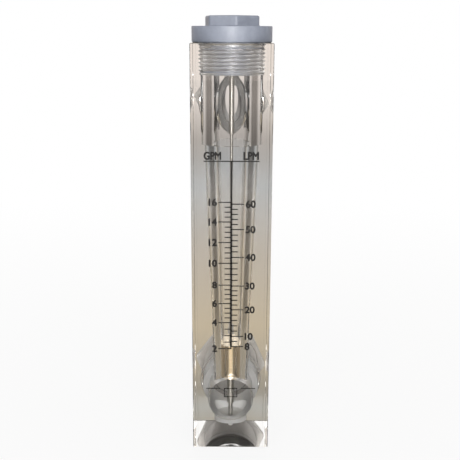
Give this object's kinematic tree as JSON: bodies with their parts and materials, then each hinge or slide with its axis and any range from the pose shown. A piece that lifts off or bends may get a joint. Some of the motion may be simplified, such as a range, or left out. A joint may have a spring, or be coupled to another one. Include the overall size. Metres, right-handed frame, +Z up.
{
  "type": "rotameter",
  "caption": "Clear acrylic block flow meter: a float rises up a tapered bore on a guide rod, with screwed ports on the rear.",
  "frame": {"origin": "base of the acrylic block, on the axis of the tapered bore", "axes": "+Z up along the tapered bore, -Y towards the graduated front face, +Y out of the rear ports, +X to the right seen from the front"},
  "size_m": [0.053, 0.105, 0.2863],
  "materials": {
    "acrylic": "clear cast acrylic, polished on every face",
    "grey_pvc": "blue-grey rigid PVC, machined, satin",
    "seal_rubber": "black EPDM, moulded",
    "rod_steel": "stainless steel, centreless ground",
    "float_steel": "stainless steel, fine turned"
  },
  "bodies": {
    "meter": {"body_block": "acrylic", "top_plug": "grey_pvc", "plug_o_ring": "seal_rubber", "guide_rod": "rod_steel", "upper_float_stop": "rod_steel", "lower_float_stop": "rod_steel", "inlet_adapter": "grey_pvc", "inlet_panel_nut": "grey_pvc", "inlet_o_ring": "seal_rubber", "outlet_adapter": "grey_pvc", "outlet_panel_nut": "grey_pvc", "outlet_o_ring": "seal_rubber"},
    "float": {"float": "float_steel"}
  },
  "joints": [
    {"name": "float_travel", "type": "slide", "parent": "meter", "child": "float", "axis": [0, 0, 1], "range_m": [0, 0.1422]}
  ]
}
